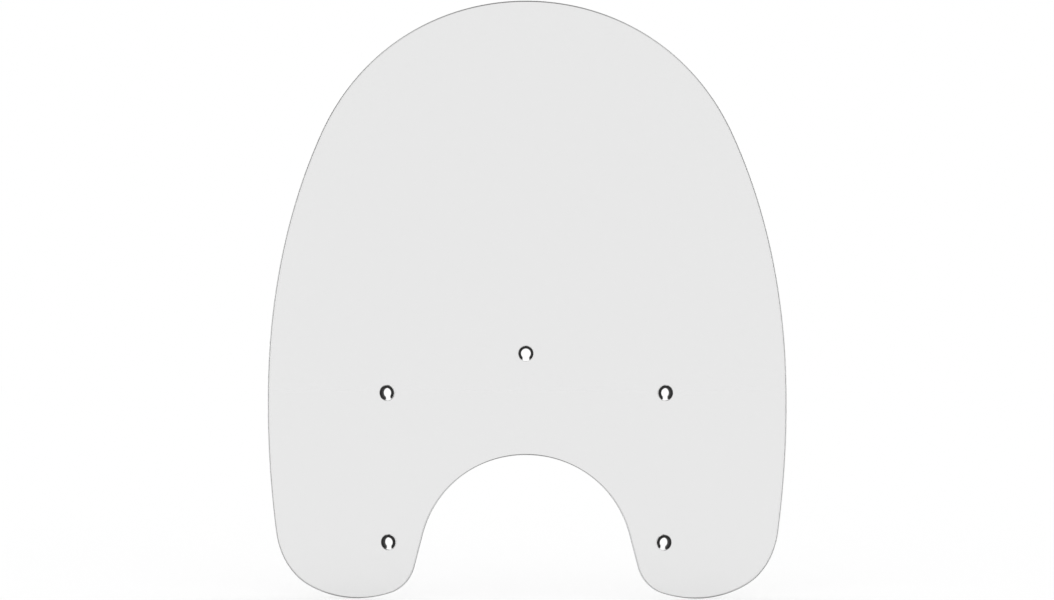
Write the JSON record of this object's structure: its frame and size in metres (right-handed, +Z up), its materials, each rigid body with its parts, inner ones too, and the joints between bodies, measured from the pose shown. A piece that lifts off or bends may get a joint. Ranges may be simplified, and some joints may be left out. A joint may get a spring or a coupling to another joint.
{
  "type": "motorcycle windshield screen",
  "caption": "Clear windshield screen, bent about a vertical axis, with a round headlight cutout between two lower lobes and split black bushings in its bolt holes.",
  "frame": {"origin": "on the axis of the top bolt hole, at the sheet's rear face", "axes": "+Z up, +Y to the rear towards the rider, so the convex front faces -Y, and +X to the right as seen from the front"},
  "size_m": [0.568, 0.0951, 0.639],
  "materials": {
    "clear_plastic": "clear polished acrylic sheet with polished edges",
    "black_rubber": "moulded, slightly glossy"
  },
  "bodies": {
    "screen": {"screen": "clear_plastic"},
    "bushing_top_center": {"bushing_top_center": "black_rubber"},
    "bushing_mid_left": {"bushing_mid_left": "black_rubber"},
    "bushing_mid_right": {"bushing_mid_right": "black_rubber"},
    "bushing_lower_left": {"bushing_lower_left": "black_rubber"},
    "bushing_lower_right": {"bushing_lower_right": "black_rubber"}
  },
  "joints": [
    {"name": "turn_top_center", "type": "hinge", "parent": "screen", "child": "bushing_top_center", "pos_m": [0, -0.0024, 0], "axis": [0, 1, 0], "continuous": true},
    {"name": "turn_mid_left", "type": "hinge", "parent": "screen", "child": "bushing_mid_left", "pos_m": [-0.14865, 0.02081, -0.0426], "axis": [0.3049, 0.9524, 0], "continuous": true},
    {"name": "turn_mid_right", "type": "hinge", "parent": "screen", "child": "bushing_mid_right", "pos_m": [0.14865, 0.02081, -0.0426], "axis": [-0.3049, 0.9524, 0], "continuous": true},
    {"name": "turn_lower_left", "type": "hinge", "parent": "screen", "child": "bushing_lower_left", "pos_m": [-0.14704, 0.0203, -0.2026], "axis": [0.3016, 0.9534, 0], "continuous": true},
    {"name": "turn_lower_right", "type": "hinge", "parent": "screen", "child": "bushing_lower_right", "pos_m": [0.14704, 0.0203, -0.2026], "axis": [-0.3016, 0.9534, 0], "continuous": true}
  ]
}
